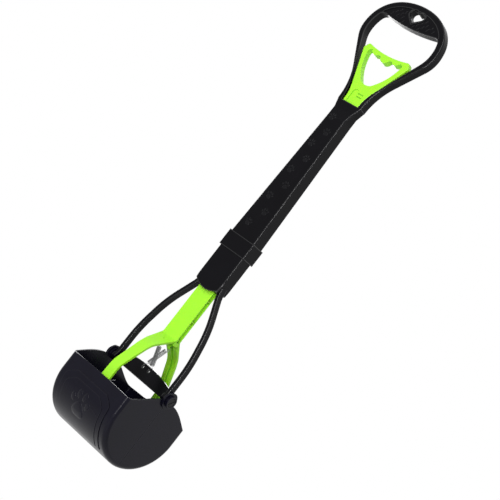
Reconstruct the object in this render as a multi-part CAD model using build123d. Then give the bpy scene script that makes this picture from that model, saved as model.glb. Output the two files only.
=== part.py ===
"""Long-handled jaw scooper: two black bowl halves on a two-piece handle.

A trigger inside the loop handle pulls a rod.  The rod forks into two prongs that lift
the rims of the jaws, so the jaws swing open about one hinge line.  Two tension springs
pull the rod back down and close them.

Axes: +Z runs up the handle, X is the hinge line, -Y is the front.  Heights are measured
up from the lowest point of the closed jaws.  At the end every piece is lowered so that
the origin is the middle of the heart-shaped hanging hole.
"""
import math
import os
from build123d import *

# Levels, each one above the level before it; the first stands on the jaws' lowest point
bowl_depth = 59.5
rim_rise = 23.8
hinge_rise = 24.2
fork_length = 140.5
tube_length = 59.5
collar_length = 23.5
shaft_length = 225.0
loop_length = 161.5
travel = 32.0
overrun = 5.0

# Jaws: one moulding used twice, the second turned half round
jaw_width = 118.0
jaw_length = 139.0
jaw_wall = 2.2
rim_arch = 1.2
jaw_corner_radius = 6.3
lip_gap = 0.6
ear_drop = 3.0
ear_reach = 12.0
ear_radius = 9.0
ear_clearance = 0.5
cheek_gap = 0.3
cheek_radius = 12.0
cheek_thickness = 2.5
hub_radius = 8.4
hub_length = 6.2
hub_recess_radius = 6.2
hub_recess_depth = 3.0

# Arched panel on the front of a jaw: a raised border and a domed field inside it
panel_height = 0.9
panel_step = 0.5
panel_half_width = 46.0
panel_drop = 14.5
panel_foot = 7.5
panel_chamfer_run = 15.0
panel_chamfer_drop = 10.0
panel_corner_radius = 9.0
panel_rim = 7.6

# Hinge pins
pin_radius = 3.0
pin_clearance = 0.05
pin_head_radius = 5.6
pin_head_thickness = 2.6
pin_seat_gap = 0.1
pin_slot_width = 1.2
pin_slot_depth = 1.2
pin_catch_radius = 3.8
pin_catch_length = 1.8

# Links between the prongs and the jaws
link_set_back = 12.5
link_drop = 29.0
link_pin_radius = 1.7
link_play = 0.75
link_offset = 0.45
link_end_play = 0.6
lug_thickness = 2.5
lug_gap = 0.6
lug_rim = 1.9
prong_eye_radius = 3.7

# Loop of the upper handle
loop_half_width = 66.0
crown_tall = 54.0
crown_corner_drop = 11.6
loop_foot_half_width = 22.0
loop_bend_rise = 25.5
opening_half_width = 57.2
opening_foot_half_width = 15.2
opening_foot_drop = 4.0
opening_bend_rise = 14.5
opening_corner_drop = 10.0
loop_depth = 13.6
loop_edge_radius = 2.2
plate_drop = 35.2
plate_bow = 9.0
plate_corner_radius = 8.0
plate_depth = 11.6
heart_drop = 17.5
heart_width = 24.0
heart_tall = 18.0
heart_rim = 2.4
heart_rim_height = 0.7

# Shaft of the upper handle and the collar at its foot
shaft_bottom_half_width = 22.8
shaft_top_half_width = 15.7
shaft_bottom_half_depth = 10.8
shaft_top_half_depth = 10.0
shoulder_length = 26.5
shoulder_half_width = 17.3
shoulder_half_depth = 7.8
shaft_wall = 1.7
shaft_edge_radius = 2.4
mouth_gap = 0.5
collar_wall = 1.8
collar_roof = 2.2

# Lower fork
tube_half_width = 22.8
tube_half_depth = 10.9
tube_wall = 2.0
tube_edge_radius = 2.4
tube_fit = 0.15
neck_length = 25.0
neck_wall = 1.8
tongue_half_width = 20.8
tongue_shoulder_rise = 6.5
tongue_taper_rise = 20.0
arm_bar = 6.2
arm_depth = 10.2
arm_edge_radius = 1.8
arm_root_inset = 0.5
arm_root_length = 24.0
arm_leave_rise = 6.7
arm_eye_radius = 7.2
arm_spacer_radius = 5.6
arm_spacer_thickness = 0.4
crossbar_half_thickness = 1.6
crossbar_drop = 4.0
crossbar_rise = 17.5
crossbar_end_rise = 10.5
spring_hole_radius = 1.7
spring_hole_offset = 6.0
spring_hole_rise = 12.0

# Trigger and its rod
trigger_half_depth = 5.0
trigger_edge_radius = 1.4
trigger_foot_half_width = 14.3
trigger_foot_gap = 0.4
trigger_bend_rise = 13.5
trigger_half_width = 41.2
trigger_corner_rise = 77.0
trigger_top_rise = 85.0
trigger_dip = 4.5
trigger_corner_radius = 5.0
stem_half_width = 13.3
stem_length = 54.0
finger_half_width = 31.5
finger_top_rise = 80.0
finger_roof_dip = 5.0
finger_mid_half_width = 20.8
finger_mid_rise = 48.0
finger_bottom_half_width = 9.0
finger_bottom_rise = 33.5
finger_floor_dip = 2.0
finger_corner_radius = 4.0
bump_radius = 8.0
bump_spacing = 18.0
bump_crease_radius = 1.2
bump_drop = 6.7
middle_bump_drop = 11.1
recess_depth = 0.7
recess_half_width = 4.6
recess_offset = 4.2
recess_rise = 17.0
recess_bar_length = 8.5
recess_bar_half_height = 0.8
recess_bar_spacing = 4.6
rod_half_width = 11.0
fork_rod_half_width = 13.9
rod_half_depth = 4.4
flange = 1.3
web_half_thickness = 1.4
rib_half_thickness = 0.9
rib_spacing = 33.3
rod_joint_length = 30.0
rod_joint_drop = 29.5
rod_joint_gap = 0.1
rod_joint_land = 2.0
peg_radius = 4.0

# Prongs: heights above the hinge line, except the knee's, which is below it
prong_thickness = 3.2
prong_shoulder_half_width = 9.0
prong_end_half_width = 7.5
prong_root_rise = 64.0
prong_start_length = 4.0
prong_shoulder_reach = 32.8
prong_shoulder_rise = 41.2
prong_knee_set_back = 1.0
prong_knee_drop = 2.5
prong_root_radius = 6.0
prong_shoulder_radius = 42.0
prong_knee_radius = 30.0
prong_rib_half_thickness = 1.1
prong_rib_height = 2.2
crotch_rise = 57.5
root_block_length = 5.5
lug_ring_radius = 4.8
lug_hole_radius = 1.8
lug_half_thickness = 1.5
spring_lug_reach = 11.2
spring_lug_rise = 53.8

# Springs
wire_radius = 0.5
coil_radius = 2.8
coil_pitch = 1.8
coil_turns = 12
top_hook_radius = 3.0
bottom_hook_radius = 3.2

# Shares of the sizes that they follow
rim_pull_share = 0.25
rim_dip_share = 0.04
ear_pull_share = 0.30
ear_fall_share = 0.24
full_rim_pull_share = 0.18
full_rim_lift_share = 0.12
full_ear_pull_share = 0.42
full_ear_fall_share = 0.02
crown_pull_share = 0.61
loop_bend_shares = (0.98, 0.98)
opening_bend_shares = (0.85, 0.95)
arm_level_shares = (0.702, 0.345)
arm_spread_shares = (0.687, 0.997)
arm_bend_shares = (0.42, 0.39, 0.39)
trigger_bend_share = 0.8
shoulder_level_share = 0.5
heart_tip_share = 1.6
heart_notch_share = 0.5

# Derived levels
rim_height = bowl_depth + rim_rise
hinge_height = rim_height + hinge_rise
fork_tip_height = hinge_height + fork_length
collar_bottom = fork_tip_height + tube_length
shaft_bottom = collar_bottom + collar_length
shaft_top = shaft_bottom + shaft_length
handle_top = shaft_top + loop_length
heart_height = handle_top - heart_drop
ear_top_height = hinge_height - ear_drop
link_height = hinge_height - link_drop
arm_leave_height = fork_tip_height + arm_leave_rise
arm_top_height = arm_leave_height + arm_root_length
spring_hole_height = hinge_height + spring_hole_rise
spring_lug_height = hinge_height + spring_lug_rise
prong_root_height = hinge_height + prong_root_rise
prong_start_height = prong_root_height + prong_start_length
crotch_height = hinge_height + crotch_rise
rod_joint_bottom = shaft_bottom - rod_joint_drop
rod_joint_top = rod_joint_bottom + rod_joint_length

# Other derived sizes
half_length = jaw_length / 2
half_width = jaw_width / 2
link_reach = half_length - link_set_back
prong_knee_reach = link_reach - prong_knee_set_back
link_radius = math.hypot(link_reach, link_drop)
link_angle = math.degrees(math.atan2(link_drop, link_reach))
open_angle = link_angle - math.degrees(math.atan2(link_drop - travel, link_reach))
link_inner_radius = link_reach - link_end_play
hub_outer = half_width + cheek_gap + hub_length
arm_foot_half_width = half_width - jaw_wall - cheek_gap - arm_spacer_thickness
arm_inner = arm_foot_half_width - arm_bar
collar_half_width = tube_half_width + tube_fit + collar_wall
collar_half_depth = tube_half_depth + tube_fit + collar_wall
panel_top = rim_height - panel_drop


def box_between(low, high):
    """A block with its lowest and highest corners at two points."""
    size = [b - a for a, b in zip(low, high)]
    middle = [(a + b) / 2 for a, b in zip(low, high)]
    return Pos(*middle) * Box(*size)


def disc(radius, x_from, x_to, y=0.0, z=hinge_height):
    """A cylinder whose axis runs along X between two places."""
    length = x_to - x_from
    middle = (x_from + x_to) / 2
    return Pos(middle, y, z) * Rot(0, 90, 0) * Cylinder(radius, length)


def slab(face, x_from, x_to):
    """Push a face drawn on the side plane out along X."""
    return Pos(x_from, 0, 0) * extrude(face, x_to - x_from)


def plate(face, y_from, y_to):
    """Push a face drawn on the front plane out along Y."""
    return Pos(0, y_to, 0) * extrude(face, y_to - y_from)


def side_face(*edges):
    """A face on the side plane from edges given as Y and Z."""
    return Plane.YZ * make_face(Curve() + list(edges))


def front_face(*edges):
    """A face on the front plane from edges given as X and Z."""
    return Plane.XZ * make_face(Curve() + list(edges))


def mirrored(shape):
    """The shape's mirror image across the middle plane of the width."""
    return mirror(shape, about=Plane.YZ)


def eased_path(points, shares):
    """A path whose corners are rounded by shares of the shorter leg at each corner."""
    spots = [Vector(*point) for point in points]
    legs = [b - a for a, b in zip(spots, spots[1:])]
    radii = []
    for before, after, share in zip(legs, legs[1:], shares):
        reach = min(before.length, after.length) * share
        radii.append(reach / math.tan(math.radians(before.get_angle(after)) / 2))
    return FilletPolyline(*spots, radius=radii)


def bowl_outline(inset, top, lip):
    """Side outline of the front half: a straight rim over a quarter ellipse."""
    reach = half_length - inset
    curve = EllipticalCenterArc((0, bowl_depth), reach, bowl_depth - inset, 180, arc_size=90)
    walls = Polyline((lip, curve.position_at(1).Y), (lip, top), (-reach, top), (-reach, bowl_depth))
    floor = Line(curve.position_at(1), (lip, curve.position_at(1).Y))
    return side_face(curve, walls, floor)


def cheek_outline(rim_control, ear_control):
    """Side outline of a jaw's cheek, whose top edge sweeps up from the rim to the ear."""
    curve = EllipticalCenterArc((0, bowl_depth), half_length, bowl_depth, 180, arc_size=90)
    rim = Line((-half_length, bowl_depth), (-half_length, rim_height))
    rise = ear_top_height - rim_height
    run = half_length - ear_reach
    sweep_top = Bezier(
        (-half_length, rim_height),
        (-half_length + run * rim_control[0], rim_height + rise * rim_control[1]),
        (-ear_reach - run * ear_control[0], ear_top_height - rise * ear_control[1]),
        (-ear_reach, ear_top_height),
    )
    back = Polyline((-ear_reach, ear_top_height), (0, ear_top_height), (0, 0))
    return side_face(curve, rim, sweep_top, back)


def full_cheek():
    """Outline of the cheek that carries the outer ear."""
    rim_control = (full_rim_pull_share, full_rim_lift_share)
    return cheek_outline(rim_control, (full_ear_pull_share, full_ear_fall_share))


def scooped_cheek():
    """Outline of the cheek that carries the inner ear."""
    return cheek_outline((rim_pull_share, -rim_dip_share), (ear_pull_share, ear_fall_share))


def upright_rounds(shape, across):
    """The long edges where a wall of the bowl meets a cheek or the inside of a cheek."""
    found = []
    near = jaw_wall / 10
    for edge in shape.edges():
        middle = edge.position_at(0.5)
        start, end = edge.position_at(0), edge.position_at(1)
        on_side = abs(abs(middle.X) - across) < near and abs(start.X - end.X) < near
        outside = middle.Y < -ear_reach and middle.Z < rim_height - near
        if on_side and outside and abs(start.Z - end.Z) > near:
            found.append(edge)
    return found


def jaw():
    """The front jaw: bowl, cheeks, ears, front panel and the lugs for its link pin."""
    body = slab(full_cheek(), -half_width, half_width)
    body = fillet(upright_rounds(body, half_width), jaw_corner_radius)
    body -= slab(full_cheek() - scooped_cheek(), 0, half_width)
    inside_half = half_width - jaw_wall
    hollow = slab(bowl_outline(jaw_wall, rim_height, overrun), -inside_half, inside_half)
    hollow = fillet(upright_rounds(hollow, inside_half), jaw_corner_radius - jaw_wall)
    above = slab(bowl_outline(jaw_wall, hinge_height + overrun, overrun), -inside_half, inside_half)
    above &= box_between((-inside_half, -half_length, rim_height - jaw_wall),
                         (inside_half, overrun, hinge_height + overrun))
    body -= hollow + above
    body += front_panel()
    arch_half = half_width - jaw_corner_radius
    arch = front_face(
        Polyline((-arch_half, rim_height), (-arch_half, rim_height - jaw_wall),
                 (arch_half, rim_height - jaw_wall), (arch_half, rim_height)),
        ThreePointArc((arch_half, rim_height), (0, rim_height + rim_arch), (-arch_half, rim_height)),
    )
    body += plate(arch, -half_length, -half_length + jaw_wall)
    body -= box_between((-jaw_width, -lip_gap / 2, -overrun),
                        (jaw_width, half_length, hinge_height + overrun))
    body += disc(ear_radius, inside_half, half_width)
    body -= disc(ear_radius + ear_clearance, -half_width - overrun, -inside_half + overrun)
    body += outer_cheek()
    for side in (-1, 1):
        body += link_lug(side)
    body -= disc(pin_radius + pin_clearance, -jaw_width, jaw_width)
    return body


def panel_outline(inset):
    """Outline of the raised panel: straight sides under a top with chamfered corners."""
    half = panel_half_width - inset
    top = panel_top - inset
    corner = top - panel_chamfer_drop
    crest = half - panel_chamfer_run
    low = -overrun
    return front_face(FilletPolyline(
        (-half, low), (-half, corner), (-crest, top), (crest, top), (half, corner), (half, low),
        radius=[0] + [panel_corner_radius] * 4 + [0], close=True))


def panel_skin(height):
    """A shell on the outside of the bowl's front, raised by a height."""
    skin = slab(bowl_outline(-height, rim_height, 0), -half_width, half_width)
    return skin - slab(bowl_outline(jaw_wall / 2, rim_height + overrun, overrun), -half_width, half_width)


def front_panel():
    """Raised arch on the bowl's front: a border and a higher field inside it."""
    keep = box_between((-half_width, -jaw_length, panel_foot), (half_width, -ear_reach, rim_height))
    border = panel_skin(panel_height) & plate(panel_outline(0), -jaw_length, 0)
    field = panel_skin(panel_height + panel_step) & plate(panel_outline(panel_rim), -jaw_length, 0)
    return (border & keep) + (field & keep)


def outer_cheek():
    """The ear that lies outside the other jaw's ear, with its hub, on the left."""
    face_in = -half_width - cheek_gap
    cheek = disc(cheek_radius, face_in - cheek_thickness, face_in)
    cheek += disc(hub_radius, -hub_outer, face_in)
    cheek -= disc(hub_recess_radius, -hub_outer - overrun, -hub_outer + hub_recess_depth)
    pad = slab(full_cheek(), -half_width - cheek_gap, -half_width + jaw_wall / 2)
    pad &= disc(cheek_radius, -half_width - overrun, 0)
    pad -= disc(ear_radius + ear_clearance, -half_width - overrun, 0)
    pad -= box_between((-jaw_width, -lip_gap / 2, 0), (0, half_length, hinge_height + cheek_radius))
    return cheek + pad


def link_lug(side):
    """A slotted lug inside the front wall; the prong's pin runs in its slot."""
    slot_half = link_pin_radius + link_play
    rim = slot_half + lug_rim
    inner = link_inner_radius - link_end_play
    x_from = prong_end_half_width + lug_gap
    x_to = x_from + lug_thickness
    middle_x = side * (x_from + x_to) / 2
    length = link_radius + link_end_play - inner
    centre = (link_radius + link_end_play + inner) / 2
    root = half_length / math.cos(math.radians(link_angle))
    blade = box_between((-lug_thickness / 2, -root, -rim), (lug_thickness / 2, -inner, rim))
    blade += Pos(0, -inner, 0) * Rot(0, 90, 0) * Cylinder(rim, lug_thickness)
    slot = Rot(0, 90, 0) * Rot(0, 0, 90) * extrude(
        SlotCenterToCenter(length, 2 * slot_half), lug_thickness, both=True)
    slot = Pos(0, -centre, -link_offset) * slot
    lug = Pos(middle_x, 0, hinge_height) * Rot(link_angle, 0, 0) * (blade - slot)
    return lug & slab(bowl_outline(jaw_wall / 2, hinge_height, 0), -half_width, half_width)


def hinge_pin():
    """The right-hand hinge pin: slotted head, shank and the catch behind the arm's eye."""
    seat = hub_outer - hub_recess_depth + pin_seat_gap
    pin = disc(pin_head_radius, seat, seat + pin_head_thickness)
    pin += disc(pin_radius, arm_inner - pin_catch_length, seat)
    pin += disc(pin_catch_radius, arm_inner - pin_catch_length, arm_inner)
    cut_low = (seat + pin_head_thickness - pin_slot_depth, -pin_head_radius, -pin_slot_width / 2)
    cut_high = (seat + pin_head_thickness + overrun, pin_head_radius, pin_slot_width / 2)
    slot = Pos(0, 0, hinge_height) * Rot(45, 0, 0) * box_between(cut_low, cut_high)
    return pin - slot


def rounded_bar(half_x, half_y, radius, low, high):
    """An upright bar of rounded rectangular section."""
    outline = RectangleRounded(2 * half_x, 2 * half_y, radius)
    return Pos(0, 0, low) * extrude(outline, high - low)


def stacked_bar(stations, radius):
    """A bar through rounded rectangles, given as heights, half widths and half depths."""
    sections = [Pos(0, 0, height) * RectangleRounded(2 * half_x, 2 * half_y, radius)
                for height, half_x, half_y in stations]
    return loft(sections, ruled=True)


def shaft_half_sizes(height):
    """Outer half width and half depth of the shaft's straight part at a height."""
    share = (height - shaft_bottom) / (shaft_length - shoulder_length)
    across = shaft_bottom_half_width + (shaft_top_half_width - shaft_bottom_half_width) * share
    deep = shaft_bottom_half_depth + (shaft_top_half_depth - shaft_bottom_half_depth) * share
    return across, deep


def shaft_body():
    """The tapered shaft and the shoulder that flattens and widens into the loop's foot."""
    knuckle = shaft_top - shoulder_length
    middle = shaft_top - shoulder_length * shoulder_level_share
    return stacked_bar([
        (shaft_bottom, shaft_bottom_half_width, shaft_bottom_half_depth),
        (knuckle, shaft_top_half_width, shaft_top_half_depth),
        (middle, shoulder_half_width, shoulder_half_depth),
        (shaft_top, loop_foot_half_width, loop_depth / 2),
    ], shaft_edge_radius)


def shaft_bore():
    """The hollow that the rod and the stem run in."""
    knuckle = shaft_top - shoulder_length
    middle = shaft_top - shoulder_length * shoulder_level_share
    low = shaft_bottom - collar_roof - overrun
    wide, deep = shaft_half_sizes(low)
    mouth = stem_half_width + mouth_gap
    return stacked_bar([
        (low, wide - shaft_wall, deep - shaft_wall),
        (knuckle, mouth, shaft_top_half_depth - shaft_wall),
        (middle, mouth, shoulder_half_depth - shaft_wall),
        (shaft_top + overrun, mouth, trigger_half_depth + mouth_gap),
    ], shaft_edge_radius / 2)


def loop_outline(foot, half, side, shares, tall):
    """Outline of the loop, or of the space inside it, from its right edge and its crown."""
    widest = handle_top - crown_tall
    right = eased_path(side + [(half, widest)], shares)
    left = mirror(right, about=Plane.YZ)
    crowns = []
    for way in (-1, 1):
        crowns.append(Bezier((way * half, widest), (way * half, widest + tall * crown_pull_share),
                             (way * half * crown_pull_share, widest + tall), (0, widest + tall)))
    base = Line((-foot, side[0][1]), (foot, side[0][1]))
    return front_face(right, left, *crowns, base)


def loop_outside():
    """The outer outline of the loop."""
    foot, half = loop_foot_half_width, loop_half_width
    side = [(foot, shaft_top - loop_edge_radius / 2), (foot, shaft_top + loop_bend_rise),
            (half, handle_top - crown_tall - crown_corner_drop)]
    return loop_outline(foot, half, side, loop_bend_shares, crown_tall)


def loop_inside():
    """The outline of the space inside the loop, up to the crown."""
    foot, half = opening_foot_half_width, opening_half_width
    side = [(foot, shaft_top - opening_foot_drop), (foot, shaft_top + opening_bend_rise),
            (half, handle_top - crown_tall - opening_corner_drop)]
    tall = crown_tall - loop_half_width + opening_half_width
    return loop_outline(foot, half, side, opening_bend_shares, tall)


def heart(inset, depth_from, depth_to):
    """A heart-shaped prism through the grip plate, tip down."""
    tip = heart_height - heart_tall / 2 - inset * heart_tip_share
    lobe = heart_width / 4 + inset
    lobe_x = heart_width / 4
    lobe_z = heart_height + heart_tall / 2 - heart_width / 4
    lobes = [Pos(side * lobe_x, lobe_z) * Circle(lobe) for side in (-1, 1)]
    reach = math.hypot(lobe_x, lobe_z - tip)
    swing = math.asin(lobe / reach)
    lean = math.atan2(lobe_x, lobe_z - tip)
    run = math.sqrt(reach * reach - lobe * lobe)
    edge_x = run * math.sin(lean + swing)
    edge_z = tip + run * math.cos(lean + swing)
    wedge = make_face(Polyline((0, tip), (edge_x, edge_z), (0, lobe_z + lobe * heart_notch_share),
                               (-edge_x, edge_z), close=True))
    outline = lobes[0] + lobes[1] + wedge
    return plate(Plane.XZ * outline, depth_from, depth_to)


def upper_handle():
    """Loop grip, hand plate, hollow tapered shaft and the collar at its foot."""
    deep = loop_depth / 2
    loop = plate(loop_outside(), -deep, deep)
    rims = [edge for edge in loop.edges()
            if abs(abs(edge.position_at(0.5).Y) - deep) < loop_edge_radius / 10
            and edge.position_at(0.5).Z > shaft_top]
    loop = fillet(rims, loop_edge_radius)
    inside = plate(loop_inside(), -deep - overrun, deep + overrun)
    plate_edge = handle_top - plate_drop
    wide, low = loop_half_width, shaft_top - shoulder_length
    below = plate(front_face(
        Polyline((wide, plate_edge + plate_bow), (wide, low), (-wide, low), (-wide, plate_edge + plate_bow)),
        ThreePointArc((-wide, plate_edge + plate_bow), (0, plate_edge), (wide, plate_edge + plate_bow)),
    ), -loop_depth, loop_depth)
    opening = inside & below
    corners = [edge for edge in opening.edges()
               if abs(edge.position_at(0).Y - edge.position_at(1).Y) > loop_depth
               and edge.position_at(0.5).Z > plate_edge]
    opening = fillet(corners, plate_corner_radius)
    half_plate = plate_depth / 2
    crown = inside - below
    crown -= box_between((-wide, -half_plate, low), (wide, half_plate, handle_top))
    handle = loop - opening - crown
    handle += shaft_body()
    handle += rounded_bar(collar_half_width, collar_half_depth, shaft_edge_radius,
                          collar_bottom, shaft_bottom)
    handle -= rounded_bar(tube_half_width + tube_fit, tube_half_depth + tube_fit, tube_edge_radius,
                          collar_bottom - overrun, shaft_bottom - collar_roof)
    handle -= shaft_bore()
    handle += heart(heart_rim, -half_plate - heart_rim_height, half_plate + heart_rim_height)
    handle -= heart(0, -loop_depth, loop_depth)
    return handle


def arm():
    """One fork arm: a rounded bar that leaves the tube, bows out and ends in an eye."""
    root = tube_half_width - arm_root_inset - arm_bar / 2
    foot = arm_foot_half_width - arm_bar / 2
    points = [(root, 0, arm_top_height), (root, 0, arm_leave_height)]
    for level, spread in zip(arm_level_shares, arm_spread_shares):
        points.append((root + (foot - root) * spread, 0, hinge_height + fork_length * level))
    points.append((foot, 0, hinge_height))
    section = Pos(*points[0]) * RectangleRounded(arm_bar, arm_depth, arm_edge_radius)
    bar = sweep(section, eased_path(points, arm_bend_shares))
    eye_outer = arm_foot_half_width + arm_spacer_thickness
    bar += disc(arm_eye_radius, arm_inner, arm_foot_half_width)
    bar += disc(arm_spacer_radius, arm_foot_half_width, eye_outer)
    return bar - disc(pin_radius, 0, jaw_width)


def crossbar():
    """The flat bar between the feet of the arms, with the two spring holes."""
    end = arm_foot_half_width - arm_bar / 2
    end_top = hinge_height + crossbar_end_rise
    bottom = hinge_height - crossbar_drop
    outline = front_face(
        Polyline((end, end_top), (end, bottom), (-end, bottom), (-end, end_top)),
        ThreePointArc((-end, end_top), (0, hinge_height + crossbar_rise), (end, end_top)),
    )
    bar = plate(outline, -crossbar_half_thickness, crossbar_half_thickness)
    for side in (-1, 1):
        hole = Pos(side * spring_hole_offset, 0, spring_hole_height) * Rot(90, 0, 0)
        bar -= hole * Cylinder(spring_hole_radius, tube_half_depth)
    pin_room = disc(pin_catch_radius + cheek_gap, arm_inner - pin_catch_length - cheek_gap, arm_inner)
    pin_room += disc(pin_radius, arm_inner, arm_foot_half_width)
    return bar - pin_room - mirrored(pin_room)


def lower_fork():
    """Tube, neck, tongue, both arms and the crossbar, moulded in one."""
    top = shaft_bottom - collar_roof
    inner = tube_half_width - tube_wall, tube_half_depth - tube_wall
    tube = rounded_bar(tube_half_width, tube_half_depth, tube_edge_radius, fork_tip_height, top)
    shoulder = fork_tip_height + tongue_shoulder_rise
    taper = fork_tip_height + tongue_taper_rise
    tongue = front_face(
        Polyline((tongue_half_width, shoulder), (tube_half_width, taper), (tube_half_width, top),
                 (-tube_half_width, top), (-tube_half_width, taper), (-tongue_half_width, shoulder)),
        ThreePointArc((-tongue_half_width, shoulder), (0, fork_tip_height), (tongue_half_width, shoulder)),
    )
    tube &= plate(tongue, -2 * tube_half_depth, 2 * tube_half_depth)
    neck_top = top + neck_length
    neck_half = [size - shaft_wall - tube_fit for size in shaft_half_sizes(neck_top)]
    tube += rounded_bar(neck_half[0], neck_half[1], shaft_edge_radius / 2, top - tube_wall, neck_top)
    fork = tube + crossbar()
    bar = arm()
    fork += bar + mirrored(bar)
    fork -= rounded_bar(inner[0], inner[1], tube_edge_radius / 2, fork_tip_height - arm_root_length,
                        top - tube_wall) & rod_way(inner[0], taper)
    fork -= rounded_bar(neck_half[0] - neck_wall, neck_half[1] - neck_wall, shaft_edge_radius / 2,
                        top - tube_wall - overrun, neck_top + overrun)
    return fork


def rod_way(half, taper):
    """The room that the rod needs, which the roots of the arms may not fill."""
    clear = fork_rod_half_width + web_half_thickness
    low = box_between((-clear, -tube_half_depth, fork_tip_height - arm_root_length),
                      (clear, tube_half_depth, arm_top_height + overrun))
    high = box_between((-half, -tube_half_depth, taper), (half, tube_half_depth, shaft_bottom))
    return low + high


def ribbed_rod(half, low, high, first_rib):
    """A rod of two flanges and a web, with cross ribs at an even spacing."""
    rod = box_between((-half, -rod_half_depth, low), (half, -rod_half_depth + flange, high))
    rod += box_between((-half, rod_half_depth - flange, low), (half, rod_half_depth, high))
    rod += box_between((-web_half_thickness, -rod_half_depth, low),
                       (web_half_thickness, rod_half_depth, high))
    height = first_rib
    while height < high - rib_half_thickness:
        rod += box_between((-half, -rod_half_depth, height - rib_half_thickness),
                           (half, rod_half_depth, height + rib_half_thickness))
        height += rib_spacing
    return rod


def trigger_face():
    """Outline of the trigger: a shield with a hollowed top edge."""
    foot, half = trigger_foot_half_width, trigger_half_width
    corner, top = shaft_top + trigger_corner_rise, shaft_top + trigger_top_rise
    low = shaft_top + trigger_foot_gap
    points = [(foot, low), (foot, shaft_top + trigger_bend_rise), (half, corner)]
    side = eased_path(points, [trigger_bend_share])
    shoulder = half - trigger_corner_radius
    crown = ThreePointArc((shoulder, top), (0, top - trigger_dip), (-shoulder, top))
    corners = [Line((way * half, corner), (way * shoulder, top)) for way in (-1, 1)]
    base = Line((-foot, low), (foot, low))
    return front_face(side, mirror(side, about=Plane.YZ), crown, *corners, base)


def finger_opening():
    """The rounded triangular opening, whose roof has three finger bumps."""
    half, low_half = finger_half_width, finger_bottom_half_width
    top, low = shaft_top + finger_top_rise, shaft_top + finger_bottom_rise
    right = ThreePointArc((low_half, low), (finger_mid_half_width, shaft_top + finger_mid_rise), (half, top))
    left = mirror(right, about=Plane.YZ)
    roof = ThreePointArc((-half, top), (0, top - finger_roof_dip), (half, top))
    floor = ThreePointArc((-low_half, low), (0, low - finger_floor_dip), (low_half, low))
    deep = trigger_half_depth + overrun
    opening = plate(front_face(right, left, roof, floor), -deep, deep)
    corners = [edge for edge in opening.edges()
               if abs(edge.position_at(0).Y - edge.position_at(1).Y) > deep
               and edge.position_at(0.5).Z > top - finger_corner_radius]
    opening = fillet(corners, finger_corner_radius)
    for step, drop in ((-1, bump_drop), (0, middle_bump_drop), (1, bump_drop)):
        centre = Pos(step * bump_spacing, 0, top - drop + bump_radius) * Rot(90, 0, 0)
        opening -= centre * Cylinder(bump_radius, 4 * deep)
    creases = [edge for edge in opening.edges()
               if abs(edge.position_at(0).Y - edge.position_at(1).Y) > deep
               and edge.position_at(0.5).Z > top - middle_bump_drop
               and abs(edge.position_at(0.5).X) < half - finger_corner_radius]
    return fillet(creases, bump_crease_radius)


def stem_recess():
    """Shallow recess in the trigger's foot: a rounded channel and two short bars beside it."""
    face = -trigger_half_depth
    low, high = shaft_top - overrun, shaft_top + recess_rise
    channel = front_face(Polyline(
        (-recess_offset - recess_half_width, high), (-recess_offset - recess_half_width, low),
        (-recess_offset + recess_half_width, low), (-recess_offset + recess_half_width, high)),
        ThreePointArc((-recess_offset + recess_half_width, high), (-recess_offset, high + recess_half_width),
                      (-recess_offset - recess_half_width, high)))
    cut = plate(channel, face - overrun, face + recess_depth)
    start = recess_half_width - recess_offset + recess_bar_half_height
    for step in (0, 1):
        level = high - step * recess_bar_spacing
        cut += box_between((start, face - overrun, level - recess_bar_half_height),
                           (start + recess_bar_length, face + recess_depth, level + recess_bar_half_height))
    return cut


def trigger_rod():
    """The trigger with its stem and the upper rod down to the joint."""
    grip = plate(trigger_face(), -trigger_half_depth, trigger_half_depth)
    corners = [edge for edge in grip.edges()
               if abs(edge.position_at(0).Y - edge.position_at(1).Y) > trigger_half_depth
               and edge.position_at(0.5).Z > shaft_top + trigger_corner_rise - overrun]
    grip = fillet(corners, trigger_corner_radius / 2)
    rims = [edge for edge in grip.edges()
            if abs(abs(edge.position_at(0.5).Y) - trigger_half_depth) < trigger_edge_radius / 10
            and edge.position_at(0.5).Z > shaft_top + 2 * trigger_foot_gap]
    grip = fillet(rims, trigger_edge_radius)
    grip -= finger_opening()
    stem_bottom = shaft_top - stem_length
    grip += box_between((-stem_half_width, -trigger_half_depth, stem_bottom),
                        (stem_half_width, trigger_half_depth,
                         shaft_top + trigger_foot_gap + trigger_edge_radius))
    grip -= stem_recess()
    rod = ribbed_rod(rod_half_width, rod_joint_top, stem_bottom, rod_joint_top + rib_spacing)
    tail = box_between((-rod_half_width, rod_joint_gap / 2, rod_joint_bottom),
                       (rod_half_width, rod_half_depth, rod_joint_top))
    peg_height = (rod_joint_bottom + rod_joint_top) / 2
    socket = Pos(0, 0, peg_height) * Rot(90, 0, 0) * Cylinder(peg_radius + rod_joint_gap, 4 * rod_half_depth)
    return grip + rod + (tail - socket)


def prong_path(y_root):
    """Centre line of the rear prong, from the rod down to the link pin."""
    return FilletPolyline(
        (0, y_root, prong_start_height), (0, y_root, prong_root_height),
        (0, prong_shoulder_reach, hinge_height + prong_shoulder_rise),
        (0, prong_knee_reach, hinge_height - prong_knee_drop), (0, link_reach, link_height),
        radius=[prong_root_radius, prong_shoulder_radius, prong_knee_radius])


def prong_outline():
    """Front outline of a prong, which narrows from the rod's width to its eye's."""
    right = [(fork_rod_half_width, prong_start_height + overrun), (fork_rod_half_width, prong_root_height),
             (prong_shoulder_half_width, hinge_height + prong_shoulder_rise),
             (prong_end_half_width, hinge_height - prong_knee_drop),
             (prong_end_half_width, link_height - prong_eye_radius - overrun)]
    left = [(-x, z) for x, z in reversed(right)]
    return front_face(Polyline(*right, *left, close=True))


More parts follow.
